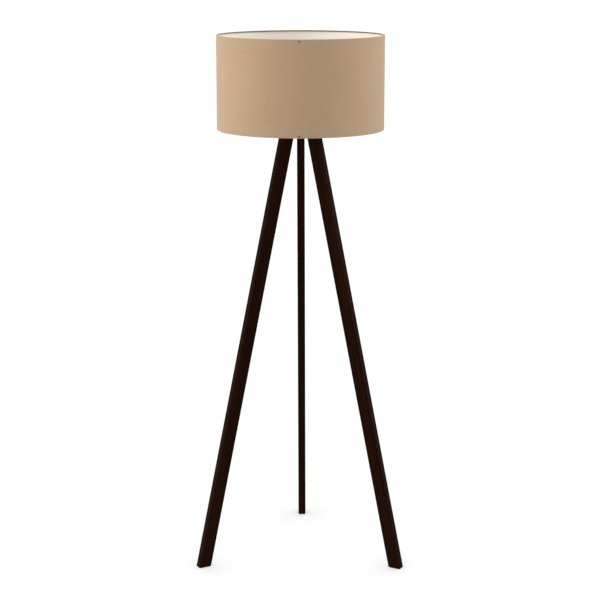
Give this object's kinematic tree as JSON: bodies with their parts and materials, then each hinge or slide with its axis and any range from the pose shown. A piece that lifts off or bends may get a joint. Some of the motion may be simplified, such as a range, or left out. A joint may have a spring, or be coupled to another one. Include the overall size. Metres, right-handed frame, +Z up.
{
  "type": "tripod floor lamp",
  "caption": "Floor lamp: dark board legs fold on a steel hub that carries a lampholder, bulb and a wide fabric drum shade.",
  "frame": {"origin": "on the floor, at the centre of the bounding box's footprint", "axes": "+Z up, +Y towards the rear leg, the shade's seam faces -Y"},
  "size_m": [0.6306, 0.6098, 1.6],
  "materials": {
    "wenge_wood": "dark stained wenge boards, satin varnish, fine straight grain",
    "felt": "thin dark felt pads",
    "shade_fabric": "beige woven poly-cotton with slubs, matt",
    "shade_lining": "cream styrene lining, smooth, half matt",
    "wire": "dark bronze painted steel wire",
    "rivet": "antique bronze rivets",
    "hub_steel": "black powder coat",
    "zinc_steel": "zinc plated steel fasteners",
    "nylon": "natural nylon washers",
    "holder_plastic": "black thermoset lampholder",
    "porcelain": "white steatite core",
    "brass": "plain brass",
    "bulb_plastic": "white moulded bulb body",
    "opal": "opal polycarbonate diffuser",
    "bulb_metal": "nickel plated bulb cap",
    "bulb_black": "black vitrite insulator",
    "solder": "bright solder tip",
    "circuit_board": "white solder mask"
  },
  "bodies": {
    "hub": {"hub_bracket": "hub_steel", "nylon_washers": "nylon", "steel_washers": "zinc_steel", "threaded_nipple": "zinc_steel", "nipple_nut": "zinc_steel", "nipple_washer": "zinc_steel", "cord_gland": "holder_plastic", "gland_screw": "zinc_steel", "holder_cap": "holder_plastic", "holder_skirt": "holder_plastic", "holder_core": "porcelain", "screw_shell": "brass", "centre_contact": "brass", "terminal_screws": "brass", "pivot_bolt_left": "zinc_steel", "pivot_bolt_right": "zinc_steel", "pivot_bolt_rear": "zinc_steel"},
    "shade": {"shade_cover": "shade_fabric", "shade_liner": "shade_lining", "top_ring": "wire", "bottom_ring": "wire", "spider_spokes": "wire", "fitter_ring": "wire", "seam_rivets": "rivet"},
    "ring_nut": {"shade_ring_nut": "holder_plastic"},
    "bulb": {"bulb_contact": "solder", "bulb_insulator": "bulb_black", "bulb_cap": "bulb_metal", "bulb_body": "bulb_plastic", "bulb_globe": "opal", "led_board": "circuit_board", "led_driver": "circuit_board"},
    "left_leg": {"leg_left": "wenge_wood", "foot_pad_left": "felt"},
    "left_wing_nut": {"wing_nut_left": "zinc_steel"},
    "right_leg": {"leg_right": "wenge_wood", "foot_pad_right": "felt"},
    "right_wing_nut": {"wing_nut_right": "zinc_steel"},
    "rear_leg": {"leg_rear": "wenge_wood", "foot_pad_rear": "felt"},
    "rear_wing_nut": {"wing_nut_rear": "zinc_steel"}
  },
  "joints": [
    {"name": "left_leg_fold", "type": "hinge", "parent": "hub", "child": "left_leg", "pos_m": [-0.04027, -0.07639, 1.308], "axis": [0.5, -0.866, 0], "range_deg": [0, 12.6]},
    {"name": "left_wing_nut_turn", "type": "hinge", "parent": "hub", "child": "left_wing_nut", "pos_m": [-0.03027, -0.09372, 1.308], "axis": [0.5, -0.866, 0], "continuous": true},
    {"name": "right_leg_fold", "type": "hinge", "parent": "hub", "child": "right_leg", "pos_m": [0.04027, -0.07639, 1.308], "axis": [0.5, 0.866, 0], "range_deg": [0, 12.6]},
    {"name": "right_wing_nut_turn", "type": "hinge", "parent": "hub", "child": "right_wing_nut", "pos_m": [0.05027, -0.05907, 1.308], "axis": [0.5, 0.866, 0], "continuous": true},
    {"name": "rear_leg_fold", "type": "hinge", "parent": "hub", "child": "rear_leg", "pos_m": [0, -0.00664, 1.308], "axis": [-1, 0, 0], "range_deg": [0, 12.6]},
    {"name": "rear_wing_nut_turn", "type": "hinge", "parent": "hub", "child": "rear_wing_nut", "pos_m": [-0.02, -0.00664, 1.308], "axis": [-1, 0, 0], "continuous": true},
    {"name": "shade_turn", "type": "hinge", "parent": "hub", "child": "shade", "pos_m": [0, -0.05314, 1.355], "axis": [0, 0, 1], "continuous": true},
    {"name": "ring_nut_turn", "type": "hinge", "parent": "hub", "child": "ring_nut", "pos_m": [0, -0.05314, 1.36], "axis": [0, 0, 1], "continuous": true},
    {"name": "bulb_turn", "type": "hinge", "parent": "hub", "child": "bulb", "pos_m": [0, -0.05314, 1.37], "axis": [0, 0, 1], "continuous": true}
  ]
}
